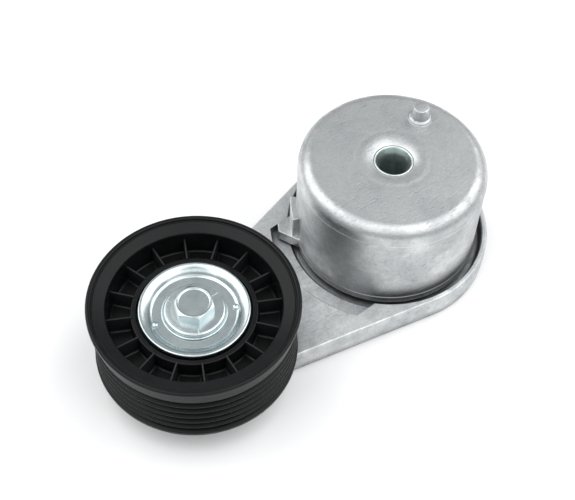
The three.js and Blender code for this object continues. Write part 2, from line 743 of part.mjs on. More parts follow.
function rearShield() {
  const bottom = bossTop + SEAT_GAP;
  const top = bottom + SHIELD_THICKNESS;
  return turned([
    [BEARING_BORE_RADIUS, bottom],
    [bossRadius, bottom],
    [rearShieldRadius, bottom - REAR_SHIELD_DISH],
    [rearShieldRadius, top - REAR_SHIELD_DISH],
    [bossRadius, top],
    [BEARING_BORE_RADIUS, top],
  ], RING_FACETS);
}

// A prism on the bolt's axis with its top corners chamfered all round and its top dished.
function boltHead(bottom) {
  const corner = BOLT_HEX_ACROSS_FLATS / Math.sqrt(3);
  const top = bottom + BOLT_HEX_HEIGHT;
  const hexagon = new THREE.Shape();
  for (let i = 0; i <= 6; i += 1) {
    const [x, y] = spot(corner, BOLT_HEX_TURN + 60 * i);
    if (i === 0) {
      hexagon.moveTo(x, y);
    } else {
      hexagon.lineTo(x, y);
    }
  }
  const flatRadius = BOLT_HEX_ACROSS_FLATS / 2 - BOLT_HEX_CHAMFER;
  const dishRadius = flatRadius - BOLT_DISH_RIM;
  const slope = Math.tan(radians(30));
  const chamfer = turned([
    [0, bottom - OVER],
    [corner + OVER, bottom - OVER],
    [corner + OVER, top - (corner + OVER - flatRadius) * slope],
    [flatRadius, top],
    [dishRadius, top],
    [dishRadius - BOLT_DISH_SLOPE, top - BOLT_DISH_DEPTH],
    [0, top - BOLT_DISH_DEPTH],
  ], SMALL_FACETS);
  return prism(hexagon, bottom - OVER / 2, top + OVER).intersect(chamfer);
}

function pulleyBolt() {
  const flangeTop = boltSeat + BOLT_FLANGE_HEIGHT;
  const tip = armBottom + BOLT_TIP_SHORT;
  const body = turned([
    [0, tip],
    [BOLT_SHANK_RADIUS - BOLT_TIP_CHAMFER, tip],
    [BOLT_SHANK_RADIUS, tip + BOLT_TIP_CHAMFER],
    [BOLT_SHANK_RADIUS, boltSeat],
    [boltFlangeRadius, boltSeat],
    [boltFlangeRadius, flangeTop - BOLT_FLANGE_CHAMFER],
    [boltFlangeRadius - BOLT_FLANGE_CHAMFER, flangeTop],
    [0, flangeTop],
  ], RING_FACETS);
  return body.add(boltHead(flangeTop));
}

// ---- Assembly ----
const CAST = 0xb4b8b8;
const ZINC = 0xc9d2d6;
const ZINC_YELLOW = 0xb9bfa6;
const STEEL = 0x9a9da0;
const NYLON_BLACK = 0x17181a;
const NYLON_NATURAL = 0xd8d2c0;

const atPulley = [-ARM_LENGTH, 0, 0];

add('spring_case', springCase(), CAST, 0.5, 0.9);
add('pivot_sleeve', pivotSleeve(), ZINC_YELLOW, 0.35, 0.9);
add('end_plate', endPlate(), ZINC, 0.35, 0.9);
add('thrust_washer', thrustWasher(), NYLON_NATURAL, 0.6, 0);
add('spring_bushing', springBushing(), NYLON_NATURAL, 0.6, 0);
add('tension_arm', tensionArm(), CAST, 0.5, 0.9);
add('pivot_bushing', pivotBushing(), NYLON_NATURAL, 0.6, 0);
add('torsion_spring', torsionSpring(), STEEL, 0.4, 0.9);
add('damper_shoe', damperShoe(), NYLON_BLACK, 0.6, 0);
add('pulley_wheel', pulleyWheel(), NYLON_BLACK, 0.5, 0, atPulley);
add('bearing_outer_race', outerRace(), STEEL, 0.25, 1, atPulley);
add('bearing_inner_race', innerRace(), STEEL, 0.25, 1, atPulley);
add('bearing_seal_front', seal(bearingFront - SEAT_GAP), NYLON_BLACK, 0.7, 0, atPulley);
add('bearing_seal_rear', seal(bearingRear + SEAT_GAP + SEAL_THICKNESS), NYLON_BLACK, 0.7, 0, atPulley);
add('ball_cage', ballCage(), STEEL, 0.3, 1, atPulley);
for (let i = 0; i < BALL_COUNT; i += 1) {
  add(`ball_${i + 1}`, ball(), STEEL, 0.1, 1, ballPlace(i));
}
add('dust_shield_front', frontShield(), ZINC, 0.25, 1, atPulley);
add('dust_shield_rear', rearShield(), ZINC, 0.3, 1, atPulley);
add('pulley_bolt', pulleyBolt(), ZINC, 0.3, 1, atPulley);

export default assembly;
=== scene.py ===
import json
import math

import bmesh
import bpy
from mathutils import Matrix, Vector


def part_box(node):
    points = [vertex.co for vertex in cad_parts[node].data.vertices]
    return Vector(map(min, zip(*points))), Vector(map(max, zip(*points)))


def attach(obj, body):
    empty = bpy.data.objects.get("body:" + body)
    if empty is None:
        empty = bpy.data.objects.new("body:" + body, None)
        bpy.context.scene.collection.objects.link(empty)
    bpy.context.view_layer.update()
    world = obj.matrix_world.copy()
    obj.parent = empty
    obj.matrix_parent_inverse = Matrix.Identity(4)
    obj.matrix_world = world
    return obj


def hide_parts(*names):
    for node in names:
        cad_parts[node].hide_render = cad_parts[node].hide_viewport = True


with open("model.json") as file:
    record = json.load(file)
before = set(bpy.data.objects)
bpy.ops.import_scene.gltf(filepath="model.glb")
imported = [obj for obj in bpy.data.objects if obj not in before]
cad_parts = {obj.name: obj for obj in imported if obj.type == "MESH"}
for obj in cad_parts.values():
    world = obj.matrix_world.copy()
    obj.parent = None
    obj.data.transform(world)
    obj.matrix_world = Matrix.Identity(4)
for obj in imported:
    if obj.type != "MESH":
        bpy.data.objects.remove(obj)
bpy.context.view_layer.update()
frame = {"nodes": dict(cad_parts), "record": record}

# Belt tensioner. Shapes are worked out in millimetres and put into the mesh in metres.
MM = 0.001

# ---- Camera ----
VIEW_AZIMUTH = -41.11
VIEW_ELEVATION = 53.71
VIEW_ROLL = 2.13
VIEW_DISTANCE = 453.56
VIEW_TARGET = (-48.49, 3.09, -20.0)
LENS = 76.02
SENSOR = 36.0

# ---- Sizes the frame gives ----


def low(node):
    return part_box(node)[0] / MM


def high(node):
    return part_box(node)[1] / MM


case_radius = high("spring_case").x
skirt_bottom = low("spring_case").z
pin_top = high("spring_case").z
arm_bottom = low("tension_arm").z
pulley_x = (low("pulley_wheel").x + high("pulley_wheel").x) / 2
pulley_radius = high("pulley_wheel").y
pulley_front = high("pulley_wheel").z
pulley_rear = low("pulley_wheel").z
bearing_front = high("bearing_outer_race").z
bearing_rear = low("bearing_outer_race").z
bearing_radius = high("bearing_outer_race").y
shield_radius = high("dust_shield_front").y
shield_bottom = low("dust_shield_front").z
plate_radius = high("end_plate").y
plate_bottom = low("end_plate").z
plate_top = high("end_plate").z
sleeve_top = high("pivot_sleeve").z
pulley_place = (pulley_x, 0, 0)

# ---- Sizes of the details ----
arm_top = arm_bottom + 11
pan_radius = case_radius + 2.6
arm_round_pivot = pan_radius + 2.5
arm_round_pulley = 18.5
pan_floor = skirt_bottom - 2.5
sleeve_hole = 7.7
sleeve_radius = 7.5
sleeve_bore = 5.5
case_bore = case_radius - 3
hub_outer = 13.62
hub_bore = 10.42
hub_top = -12.7
island_radius = plate_radius + 2.9
plate_seat_top = -46.9
recess_radius = 45.5
recess_floor = skirt_bottom - 0.6
stop_wall = 26.4
lug_reach = case_radius + 6.9
lug_top = skirt_bottom + 5
swing = 68.0
post_radius = 8.38
boss_radius = 11.5
boss_top = -29.9
bolt_hole = 5.3
land_radius = pulley_radius - 1.2
rear_flange_radius = pulley_radius - 0.75
rim_opening = pulley_radius - 6.7
hub_radius = bearing_radius + 2.7
web_front = pulley_front - 12.5
web_rear = web_front - 3.6
shield_flat = shield_bottom + 0.9
flange_seat = shield_flat + 0.2

# How straight up or down a face points, as the Z of its normal.
LEVEL = 0.9999
NEARLY_LEVEL = 0.9985

WIDE_STEPS = 192
RING_STEPS = 128
SMALL_STEPS = 64


# ---- Mesh helpers ----
def turned(points, steps=RING_STEPS):
    """A body turned about Z from (radius, z) points, or (radius, z, rounding) where a corner is rounded."""
    bm = bmesh.new()
    ring = [bm.verts.new((point[0], 0, point[1])) for point in points]
    for a, b in zip(ring, ring[1:]):
        bm.edges.new((a, b))
    if points[0][0] > 0 or points[-1][0] > 0:
        bm.edges.new((ring[-1], ring[0]))
    for vert, point in zip(ring, points):
        if len(point) > 2:
            cuts = max(3, min(12, round(2 + 2 * point[2])))
            bmesh.ops.bevel(
                bm, geom=[vert], offset=point[2], affect="VERTICES",
                segments=cuts, profile=0.5, material=-1,
            )
    bmesh.ops.spin(
        bm, geom=bm.verts[:] + bm.edges[:], cent=(0, 0, 0), axis=(0, 0, 1),
        angle=math.tau, steps=steps, use_merge=True,
    )
    bmesh.ops.remove_doubles(bm, verts=bm.verts, dist=1e-5)
    bmesh.ops.recalc_face_normals(bm, faces=bm.faces)
    return bm


def lofted(outline, bottom, top, rounding=0.0, cuts=3):
    """A straight body on an (x, y) outline, with all its edges rounded when a rounding is given."""
    bm = bmesh.new()
    face = bm.faces.new([bm.verts.new((x, y, bottom)) for x, y in outline])
    sides = bmesh.ops.extrude_face_region(bm, geom=[face])
    raised = [v for v in sides["geom"] if isinstance(v, bmesh.types.BMVert)]
    bmesh.ops.translate(bm, verts=raised, vec=(0, 0, top - bottom))
    bmesh.ops.recalc_face_normals(bm, faces=bm.faces)
    if rounding:
        soften(bm, bm.edges[:], rounding, cuts)
    return bm


def soften(bm, edges, rounding, cuts=3):
    bmesh.ops.bevel(
        bm, geom=edges, offset=rounding, affect="EDGES",
        segments=cuts, profile=0.5, material=-1, clamp_overlap=True,
    )


def joined(*parts):
    """Several bmeshes as one."""
    whole = bmesh.new()
    for part in parts:
        mesh = bpy.data.meshes.new("part")
        part.to_mesh(mesh)
        part.free()
        whole.from_mesh(mesh)
        bpy.data.meshes.remove(mesh)
    return whole


def moved(bm, place=(0, 0, 0), turn=0.0):
    matrix = Matrix.Translation(place) @ Matrix.Rotation(math.radians(turn), 4, "Z")
    bmesh.ops.transform(bm, matrix=matrix, verts=bm.verts)
    return bm


def scratch_object(bm, name):
    mesh = bpy.data.meshes.new(name)
    bm.to_mesh(mesh)
    bm.free()
    obj = bpy.data.objects.new(name, mesh)
    bpy.context.scene.collection.objects.link(obj)
    return obj


def worked(blank, steps):
    """Cuts, joins or keeps the overlap of a blank with each tool body in turn."""
    body = scratch_object(blank, "blank")
    tools = []
    for operation, tool in steps:
        tools.append(scratch_object(tool, "tool"))
        cut = body.modifiers.new(operation.lower(), "BOOLEAN")
        cut.operation = operation
        cut.solver = "EXACT"
        cut.object = tools[-1]
    graph = bpy.context.evaluated_depsgraph_get()
    mesh = bpy.data.meshes.new_from_object(body.evaluated_get(graph))
    bm = bmesh.new()
    bm.from_mesh(mesh)
    bpy.data.meshes.remove(mesh)
    for scratch in [body] + tools:
        data = scratch.data
        bpy.data.objects.remove(scratch)
        bpy.data.meshes.remove(data)
    bmesh.ops.remove_doubles(bm, verts=bm.verts, dist=1e-4)
    return bm


def piece(name, bm, body, finish, place=(0, 0, 0), instead_of=(), crease=40.0, edge=0.0, flat_ends=False):
    """Puts a finished mesh into the scene, riding on its body, in its finish."""
    bmesh.ops.translate(bm, verts=bm.verts, vec=place)
    bmesh.ops.scale(bm, verts=bm.verts, vec=(MM, MM, MM))
    bm.normal_update()
    for face in bm.faces:
        face.smooth = not (flat_ends and abs(face.normal.z) > LEVEL)
    mesh = bpy.data.meshes.new(name)
    bm.to_mesh(mesh)
    bm.free()
    mesh.set_sharp_from_angle(angle=math.radians(crease))
    obj = bpy.data.objects.new(name, mesh)
    bpy.context.scene.collection.objects.link(obj)
    mesh.materials.append(finishes[finish])
    if edge:
        rounded = obj.modifiers.new("broken_edges", "BEVEL")
        rounded.width = edge * MM
        rounded.segments = 2
        rounded.limit_method = "ANGLE"
        rounded.angle_limit = math.radians(crease)
    flat = obj.modifiers.new("flat_faces_stay_flat", "WEIGHTED_NORMAL")
    flat.keep_sharp = True
    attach(obj, body)
    if instead_of:
        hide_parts(*instead_of)
    return obj


# ---- Finishes ----
def group(name, inputs, outputs):
    tree = bpy.data.node_groups.new(name, "ShaderNodeTree")
    for label, kind, value in inputs:
        socket = tree.interface.new_socket(name=label, in_out="INPUT", socket_type=kind)
        socket.default_value = value
    for label, kind in outputs:
        tree.interface.new_socket(name=label, in_out="OUTPUT", socket_type=kind)
    return tree, tree.nodes.new("NodeGroupInput"), tree.nodes.new("NodeGroupOutput")


def node(tree, kind, settings=None, **inputs):
    made = tree.nodes.new(kind)
    for key, value in (settings or {}).items():
        setattr(made, key, value)
    for key, value in inputs.items():
        socket = made.inputs[int(key[1:])] if key[0] == "i" and key[1:].isdigit() else made.inputs[key]
        if isinstance(value, bpy.types.NodeSocket):
            tree.links.new(value, socket)
        else:
            socket.default_value = value
    return made


def noise(tree, coordinates, scale, detail=3.0, rough=0.55):
    made = node(tree, "ShaderNodeTexNoise", Vector=coordinates, Scale=scale, Detail=detail, Roughness=rough)
    return made.outputs["Factor"] if "Factor" in made.outputs else made.outputs["Fac"]


def ranged(tree, value, low_in, high_in, low_out, high_out):
    made = node(tree, "ShaderNodeMapRange", None)
    made.clamp = True
    tree.links.new(value, made.inputs["Value"])
    for label, number in zip(("From Min", "From Max", "To Min", "To Max"), (low_in, high_in, low_out, high_out)):
        if isinstance(number, bpy.types.NodeSocket):
            tree.links.new(number, made.inputs[label])
        else:
            made.inputs[label].default_value = number
    return made.outputs["Result"]


def maths(tree, operation, a, b=0.0):
    made = node(tree, "ShaderNodeMath", {"operation": operation})
    for socket, value in zip(made.inputs, (a, b)):
        if isinstance(value, bpy.types.NodeSocket):
            tree.links.new(value, socket)
        else:
            socket.default_value = value
    return made.outputs[0]


def mixed(tree, amount, a, b):
    made = node(tree, "ShaderNodeMix", {"data_type": "RGBA"})
    for index, value in ((0, amount), (6, a), (7, b)):
        if isinstance(value, bpy.types.NodeSocket):
            tree.links.new(value, made.inputs[index])
        else:
            made.inputs[index].default_value = value
    return made.outputs[2]


def cast_skin():
    """Die-cast skin: broad flow marks, blotches a few millimetres across, fine grain and dark scuffs."""
    tree, given, gives = group(
        "cast_skin",
        [("Flow Scale", "NodeSocketFloat", 60.0), ("Grain Scale", "NodeSocketFloat", 1400.0)],
        [("Flow", "NodeSocketFloat"), ("Blotch", "NodeSocketFloat"),
         ("Grain", "NodeSocketFloat"), ("Scuff", "NodeSocketFloat")],
    )
    place = node(tree, "ShaderNodeTexCoord").outputs["Object"]
    broad = noise(tree, place, given.outputs["Flow Scale"], 5.0, 0.62)
    blotch = noise(tree, place, 170.0, 5.0, 0.62)
    fine = noise(tree, place, given.outputs["Grain Scale"], 3.0, 0.65)
    stretch = node(tree, "ShaderNodeMapping", Vector=place)
    stretch.inputs["Rotation"].default_value = (0.5, 0.9, 0.4)
    stretch.inputs["Scale"].default_value = (260.0, 1500.0, 900.0)
    scuff = noise(tree, stretch.outputs["Vector"], 1.0, 3.0, 0.6)
    sharp = ranged(tree, scuff, 0.56, 0.68, 0.0, 1.0)
    scuff = maths(tree, "MULTIPLY", sharp, ranged(tree, broad, 0.42, 0.56, 1.0, 0.2))
    for value, label in ((broad, "Flow"), (blotch, "Blotch"), (fine, "Grain"), (scuff, "Scuff")):
        tree.links.new(value, gives.inputs[label])
    return tree


def edge_wear_and_highlight():
    """How far a spot stands on a convex edge, from the mesh's own shape."""
    tree, given, gives = group(
        "edge_wear_and_highlight",
        [("From", "NodeSocketFloat", 0.52), ("To", "NodeSocketFloat", 0.60)],
        [("Edge", "NodeSocketFloat")],
    )
    geometry = node(tree, "ShaderNodeNewGeometry")
    worn = ranged(tree, geometry.outputs["Pointiness"], given.outputs["From"], given.outputs["To"], 0.0, 1.0)
    # A wide level face has its corners on edges only, so the wear and painted highlight would spread over all of it.
    upright = node(tree, "ShaderNodeSeparateXYZ", i0=geometry.outputs["True Normal"]).outputs["Z"]
    rounded = ranged(tree, maths(tree, "ABSOLUTE", upright), NEARLY_LEVEL, LEVEL, 1.0, 0.0)
    tree.links.new(maths(tree, "MULTIPLY", worn, rounded), gives.inputs["Edge"])
    return tree


def painted_cavity_shade():
    """How deep a spot lies in a corner or a gap, for painted shade that darkens the colour there."""
    tree, given, gives = group(
        "painted_cavity_shade",
        [("From", "NodeSocketFloat", 0.35), ("To", "NodeSocketFloat", 0.85)],
        [("Painted Shade", "NodeSocketFloat")],
    )
    open_sky = node(tree, "ShaderNodeAmbientOcclusion", {"samples": 8}, Distance=7 * MM)
    shade_mask = ranged(tree, open_sky.outputs["AO"], given.outputs["From"], given.outputs["To"], 1.0, 0.0)
    tree.links.new(shade_mask, gives.inputs["Painted Shade"])
    return tree


def smudges():
    """Plating: cloudy tint, faint wipe marks and fine dust."""
    tree, given, gives = group(
        "smudges",
        [("Cloud Scale", "NodeSocketFloat", 120.0)],
        [("Cloud", "NodeSocketFloat"), ("Wipe", "NodeSocketFloat"), ("Dust", "NodeSocketFloat")],
    )
    place = node(tree, "ShaderNodeTexCoord").outputs["Object"]
    cloud = noise(tree, place, given.outputs["Cloud Scale"], 3.0, 0.6)
    stretch = node(tree, "ShaderNodeMapping", Vector=place)
    stretch.inputs["Rotation"].default_value = (0.3, 0.2, 0.6)
    stretch.inputs["Scale"].default_value = (300.0, 2600.0, 900.0)
    wipe = noise(tree, stretch.outputs["Vector"], 1.0, 2.0, 0.5)
    dust = noise(tree, place, 2600.0, 1.0, 0.5)
    tree.links.new(cloud, gives.inputs["Cloud"])
    tree.links.new(wipe, gives.inputs["Wipe"])
    tree.links.new(dust, gives.inputs["Dust"])
    return tree


def moulded_skin():
    """Glass-filled nylon: fine speckle, soft cloudiness of the gloss."""
    tree, given, gives = group(
        "moulded_skin",
        [("Speckle Scale", "NodeSocketFloat", 2200.0)],
        [("Speckle", "NodeSocketFloat"), ("Cloud", "NodeSocketFloat")],
    )
    place = node(tree, "ShaderNodeTexCoord").outputs["Object"]
    speckle = noise(tree, place, given.outputs["Speckle Scale"], 2.0, 0.65)
    cloud = noise(tree, place, 130.0, 3.0, 0.6)
    tree.links.new(speckle, gives.inputs["Speckle"])
    tree.links.new(cloud, gives.inputs["Cloud"])
    return tree


groups = {}


def placed(tree, name, **values):
    made = tree.nodes.new("ShaderNodeGroup")
    made.node_tree = groups[name]
    for label, value in values.items():
        made.inputs[label.replace("_", " ")].default_value = value
    return made.outputs


def blank_finish(name):
    material = bpy.data.materials.new(name)
    material.use_nodes = True
    tree = material.node_tree
    shader = tree.nodes["Principled BSDF"]
    return material, tree, shader


def bumped(tree, shader, height, strength, distance):
    bump = tree.nodes.new("ShaderNodeBump")
    bump.inputs["Strength"].default_value = strength
    bump.inputs["Distance"].default_value = distance * MM
    tree.links.new(height, bump.inputs["Height"])
    tree.links.new(bump.outputs["Normal"], shader.inputs["Normal"])


def cast_finish(name, light, dark, bright_edge, gloss, flow_scale, grain_scale, bump, painted_shade_strength):
    material, tree, shader = blank_finish(name)
    skin = placed(tree, "cast_skin", Flow_Scale=flow_scale, Grain_Scale=grain_scale)
    edge = placed(tree, "edge_wear_and_highlight")["Edge"]
    flow = ranged(tree, skin["Flow"], 0.40, 0.60, 0.0, 1.0)
    tone = mixed(tree, flow, (*dark, 1), (*light, 1))
    blotch = ranged(tree, skin["Blotch"], 0.44, 0.66, 0.0, 0.5)
    tone = mixed(tree, blotch, tone, (*[c * 0.8 for c in dark], 1))
    grain = ranged(tree, skin["Grain"], 0.35, 0.65, 0.0, 0.3)
    tone = mixed(tree, grain, tone, (*[c * 0.6 for c in dark], 1))
    tone = mixed(tree, maths(tree, "MULTIPLY", skin["Scuff"], 0.35), tone, (0.14, 0.145, 0.15, 1))
    # Convex edges lightened: partly rubbed-edge wear, partly a painted highlight line along the edges.
    tone = mixed(tree, maths(tree, "MULTIPLY", edge, 0.6), tone, (*bright_edge, 1))
    shade_mask = placed(tree, "painted_cavity_shade")["Painted Shade"]
    # Painted shade: ambient occlusion darkens corners, gaps and the lug's recess towards a dark blue-grey.
    tone = mixed(tree, maths(tree, "MULTIPLY", shade_mask, painted_shade_strength), tone, (0.10, 0.11, 0.13, 1))
    tree.links.new(tone, shader.inputs["Base Color"])
    rough = ranged(tree, skin["Flow"], 0.35, 0.65, gloss + 0.08, gloss - 0.06)
    rough = maths(tree, "ADD", rough, ranged(tree, skin["Blotch"], 0.35, 0.65, -0.05, 0.07))
    tree.links.new(rough, shader.inputs["Roughness"])
    shader.inputs["Metallic"].default_value = 1.0
    height = maths(tree, "ADD", maths(tree, "MULTIPLY", skin["Blotch"], 2.0), skin["Grain"])
    bumped(tree, shader, maths(tree, "SUBTRACT", height, skin["Scuff"]), bump, 0.16)
    return material


def plated_finish(name, colour, tint, gloss, cloud_scale=120.0):
    material, tree, shader = blank_finish(name)
    marks = placed(tree, "smudges", Cloud_Scale=cloud_scale)
    cloud = ranged(tree, marks["Cloud"], 0.35, 0.65, 0.0, 1.0)
    tone = mixed(tree, cloud, (*colour, 1), (*tint, 1))
    specks = ranged(tree, marks["Dust"], 0.62, 0.75, 0.0, 0.25)
    tone = mixed(tree, specks, tone, (0.45, 0.46, 0.46, 1))
    tree.links.new(tone, shader.inputs["Base Color"])
    rough = ranged(tree, marks["Wipe"], 0.3, 0.7, gloss - 0.02, gloss + 0.03)
    tree.links.new(rough, shader.inputs["Roughness"])
    shader.inputs["Metallic"].default_value = 1.0
    bumped(tree, shader, marks["Cloud"], 0.15, 0.12)
    return material


def moulded_finish(name, colour, cloudy, gloss, bump=0.12, speckle=2200.0):
    material, tree, shader = blank_finish(name)
    skin = placed(tree, "moulded_skin", Speckle_Scale=speckle)
    edge = placed(tree, "edge_wear_and_highlight")["Edge"]
    cloud = ranged(tree, skin["Cloud"], 0.35, 0.65, 0.0, 1.0)
    tone = mixed(tree, cloud, (*colour, 1), (*cloudy, 1))
    tone = mixed(tree, maths(tree, "MULTIPLY", edge, 0.5), tone, (*[min(1, c * 4) for c in cloudy], 1))
    tree.links.new(tone, shader.inputs["Base Color"])
    rough = ranged(tree, skin["Cloud"], 0.3, 0.7, gloss - 0.04, gloss + 0.05)
    rough = maths(tree, "ADD", rough, ranged(tree, skin["Speckle"], 0.3, 0.7, -0.03, 0.04))
    tree.links.new(rough, shader.inputs["Roughness"])
    shader.inputs["Specular IOR Level"].default_value = 0.19
    bumped(tree, shader, skin["Speckle"], bump, 0.05)
    return material


for maker in (cast_skin, edge_wear_and_highlight, painted_cavity_shade, smudges, moulded_skin):
    groups[maker.__name__] = maker()

finishes = {
    "cast_aluminium_case": cast_finish(
        "cast_aluminium_case", (0.775, 0.785, 0.785), (0.52, 0.54, 0.55), (0.88, 0.88, 0.88),
        gloss=0.38, flow_scale=45.0, grain_scale=1500.0, bump=0.30, painted_shade_strength=0.0),
    "cast_aluminium_arm": cast_finish(
        "cast_aluminium_arm", (0.72, 0.73, 0.73), (0.58, 0.60, 0.61), (0.95, 0.95, 0.95),
        gloss=0.46, flow_scale=120.0, grain_scale=1300.0, bump=0.45, painted_shade_strength=0.65),
    "zinc_yellow": plated_finish("zinc_yellow", (0.78, 0.84, 0.82), (0.70, 0.78, 0.77), 0.33),
    "zinc_bright": plated_finish("zinc_bright", (0.60, 0.66, 0.665), (0.48, 0.555, 0.575), 0.24),
    "bearing_steel": plated_finish("bearing_steel", (0.62, 0.63, 0.64), (0.56, 0.57, 0.58), 0.14),
    "spring_steel": plated_finish("spring_steel", (0.30, 0.31, 0.32), (0.20, 0.20, 0.21), 0.36, 200.0),
    "black_nylon": moulded_finish("black_nylon", (0.004, 0.0044, 0.0046), (0.006, 0.0066, 0.007), 0.30),
    "seal_rubber": moulded_finish("seal_rubber", (0.012, 0.012, 0.012), (0.02, 0.02, 0.02), 0.6),
    "natural_nylon": moulded_finish("natural_nylon", (0.74, 0.70, 0.60), (0.66, 0.62, 0.52), 0.45),
    "damper_nylon": moulded_finish("damper_nylon", (0.03, 0.03, 0.033), (0.045, 0.045, 0.05), 0.5),
}


# ---- Spring case ----
def case_shell():
    roll = 8.8
    roll_points = []
    for k in range(5):
        turn = math.radians(k * 7.6)
        roll_points.append((sleeve_hole + 4.4 - roll * math.sin(turn), -roll * (1 - math.cos(turn))))
    return turned([
        (sleeve_hole, -11.0, 0.4),
        (11.1, -11.0, 0.4),
        (11.1, -4.0, 1.2),
        (case_bore, -4.0, 2.5),
        (case_bore, skirt_bottom, 0.5),
        (case_radius, skirt_bottom, 0.7),
        (case_radius, skirt_bottom + 3.1, 0.25),
        (case_radius - 0.28, skirt_bottom + 3.5, 0.3),
        (case_radius - 0.2, -7.6, 0.3),
        (case_radius - 0.08, -7.1, 0.25),
        (case_radius - 0.1, -6.2, 0.3),
        (case_radius - 0.1, 0.0, 5.5),
        (15.2, 0.0, 0.5),
        (14.1, -0.05, 0.5),
        (13.0, -0.01, 0.5),
        *roll_points,
        (sleeve_hole, -1.5, 0.15),
    ], WIDE_STEPS)


def locating_pin():
    return turned([
        (0, -1.5),
        (4.9, -1.5),
        (4.9, -0.05, 0.05),
        (4.6, 0.1, 0.2),
        (4.3, 0.75, 0.4),
        (3.3, 0.9, 0.6),
        (3.08, pin_top - 0.02, 0.45),
        (0, pin_top - 0.02),
    ], SMALL_STEPS)


def polar(radius, angle):
    return radius * math.cos(math.radians(angle)), radius * math.sin(math.radians(angle))


def stop_lug():
    """The block that meets the arm's stop walls, with a flat stop face on each side."""
    face = stop_wall - 0.7
    root = case_radius - 1.5
    outline = []
    for radius, upper in ((root, True), (lug_reach, True), (lug_reach, False), (root, False)):
        if upper:
            angle = 180 - math.degrees(math.asin(face / radius))
        else:
            angle = 270 - swing - math.degrees(math.acos(face / radius))
        outline.append(polar(radius, angle))
    return lofted(outline, skirt_bottom + 0.02, lug_top, 0.4, 4)


def lug_pad():
    """The thickened patch of the skirt above the lug."""
    middle = 180 - swing / 2 - 1
    outline = [polar(case_radius + 2.1, middle - 9 + 18 * k / 12) for k in range(13)]
    outline += [polar(case_radius - 1.5, middle + 9 - 18 * k / 12) for k in range(13)]
    return lofted(outline, lug_top - 1, lug_top + 11, 0.6, 3)


# ---- Tension arm ----
def arm_blank():
    """Two discs, one round the pivot and one round the pulley bolt, drawn together by a skin round both."""
    bm = bmesh.new()
    parting = arm_top - 4.2
    levels = (
        (arm_bottom, 0.35), (parting - 0.25, 0.12), (parting, 0.0),
        (parting + 0.25, 0.12), (arm_top, 0.2),
    )
    for z, inset in levels:
        for radius, x in ((arm_round_pivot, 0.0), (arm_round_pulley, pulley_x)):
            bmesh.ops.create_circle(
                bm, cap_ends=False, segments=144, radius=radius - inset,
                matrix=Matrix.Translation((x, 0, z)),
            )
    hull = bmesh.ops.convex_hull(bm, input=bm.verts)
    spare = {g for key in ("geom_interior", "geom_unused") for g in hull[key]}
    bmesh.ops.delete(bm, geom=[v for v in spare if isinstance(v, bmesh.types.BMVert)], context="VERTS")
    bmesh.ops.dissolve_limit(bm, angle_limit=math.radians(0.4), verts=bm.verts, edges=bm.edges)
    bmesh.ops.recalc_face_normals(bm, faces=bm.faces)
    for z in (arm_bottom, arm_top):
        rim = [e for e in bm.edges if all(abs(v.co.z - z) < 1e-4 for v in e.verts)]
        soften(bm, rim, 0.8, 4)
    return bm


def pan_tool():
    return turned([
        (0, pan_floor),
        (pan_radius, pan_floor, 1.6),
        (pan_radius, arm_top - 0.55, 0.3),
        (pan_radius + 0.55, arm_top + 0.02, 0.1),
        (pan_radius + 0.55, arm_top + 3),
        (0, arm_top + 3),
    ], WIDE_STEPS)


def recess_tool():
    """The lug's way through the arm: round outside, with a flat stop wall at each end."""
    bm = turned([
        (0, recess_floor),
        (recess_radius, recess_floor, 0.8),
        (recess_radius + 0.2, arm_top - 0.4, 0.2),
        (recess_radius + 0.6, arm_top + 0.02, 0.1),
        (recess_radius + 0.6, arm_top + 3),
        (0, arm_top + 3),
    ], WIDE_STEPS)
    for point, normal in (((0, stop_wall, 0), (0, 1, 0)), ((0, -stop_wall, 0), (0, -1, 0)), ((-24.0, 0, 0), (1, 0, 0))):
        cut = bmesh.ops.bisect_plane(
            bm, geom=bm.verts[:] + bm.edges[:] + bm.faces[:], plane_co=point, plane_no=normal, clear_outer=True,
        )
        edges = [g for g in cut["geom_cut"] if isinstance(g, bmesh.types.BMEdge)]
        bmesh.ops.holes_fill(bm, edges=edges, sides=0)
    bmesh.ops.recalc_face_normals(bm, faces=bm.faces)
    return bm


def pivot_hub():
    return turned([
        (0, pan_floor - 1.5),
        (island_radius, pan_floor - 1.5),
        (island_radius, -42.9, 1.0),
        (hub_outer, -42.9, 1.5),
        (hub_outer, hub_top, 0.4),
        (0, hub_top),
    ], RING_STEPS)


def hub_tool():
    """Cuts the bush's bore and the seat of the end plate."""
    seat = plate_radius + 0.4
    return turned([
        (0, arm_bottom - 2),
        (seat + 0.5, arm_bottom - 2),
        (seat + 0.5, arm_bottom - 0.02, 0.1),
        (seat, arm_bottom + 0.45, 0.2),
        (seat, plate_seat_top, 0.3),
        (hub_bore, plate_seat_top, 0.3),
        (hub_bore, hub_top + 2),
        (0, hub_top + 2),
    ], RING_STEPS)


def bearing_post():
    return turned([
        (0, arm_top - 1),
        (boss_radius + 1.6, arm_top - 1),
        (boss_radius + 0.6, arm_top + 0.02, 0.1),
        (boss_radius, arm_top + 1.2, 1.0),
        (boss_radius, boss_top, 0.3),
        (post_radius, boss_top, 0.2),
        (post_radius, bearing_front - 1.0, 0.6),
        (0, bearing_front - 1.0),
    ], RING_STEPS)


def bolt_tool():
    return turned([
        (0, arm_bottom - 2),
        (bolt_hole + 1.2, arm_bottom - 2),
        (bolt_hole + 1.2, arm_bottom - 0.02, 0.1),
        (bolt_hole, arm_bottom + 1.1, 0.2),
        (bolt_hole, bearing_front + 2),
        (0, bearing_front + 2),
    ], SMALL_STEPS)


